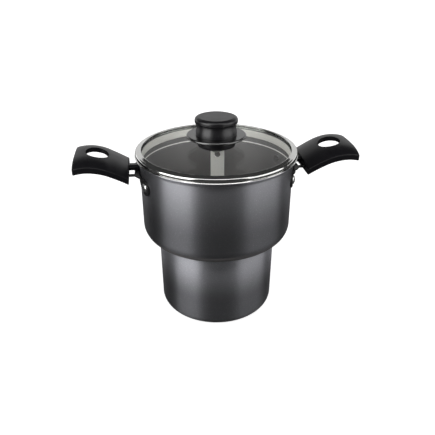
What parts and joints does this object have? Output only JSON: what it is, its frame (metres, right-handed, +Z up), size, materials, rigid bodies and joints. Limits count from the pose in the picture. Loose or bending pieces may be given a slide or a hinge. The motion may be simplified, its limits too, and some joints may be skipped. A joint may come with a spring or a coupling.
{
  "type": "couscous_steamer",
  "caption": "Small stepped aluminium couscous steamer with a dark speckled coating, a glass lid with a black knob, black wing handles and a loose steam tray.",
  "frame": {"origin": "middle of the base, on the surface the pot stands on", "axes": "+Z up, +X along the two side handles to the right handle, +Y away from the viewer"},
  "size_m": [0.2582, 0.1518, 0.1952],
  "materials": {
    "coated_aluminium": "semi-gloss dark speckled non-stick coating on drawn aluminium",
    "clear_glass": "clear tempered glass",
    "polished_steel": "polished stainless steel",
    "black_phenolic": "black satin moulded phenolic plastic",
    "black_steel": "steel sheet with black paint",
    "bright_aluminium": "bright turned aluminium",
    "satin_aluminium": "plain rolled aluminium",
    "zinc_steel": "zinc plated steel",
    "brass": "turned brass",
    "white_silicone": "soft heat-proof silicone"
  },
  "bodies": {
    "root": {"pot_body": "coated_aluminium", "lid_glass": "clear_glass", "lid_rim": "polished_steel", "knob": "black_phenolic", "knob_bush": "brass", "knob_guard": "polished_steel", "knob_foot": "black_phenolic", "lid_gasket": "white_silicone", "lid_washer": "zinc_steel", "lid_screw": "zinc_steel", "left_handle": "black_phenolic", "right_handle": "black_phenolic", "left_bracket": "black_steel", "right_bracket": "black_steel", "left_rivets": "bright_aluminium", "right_rivets": "bright_aluminium", "left_handle_screw": "zinc_steel", "right_handle_screw": "zinc_steel", "steam_tray": "satin_aluminium", "tray_strap": "satin_aluminium", "tray_rivets": "bright_aluminium"}
  },
  "joints": []
}
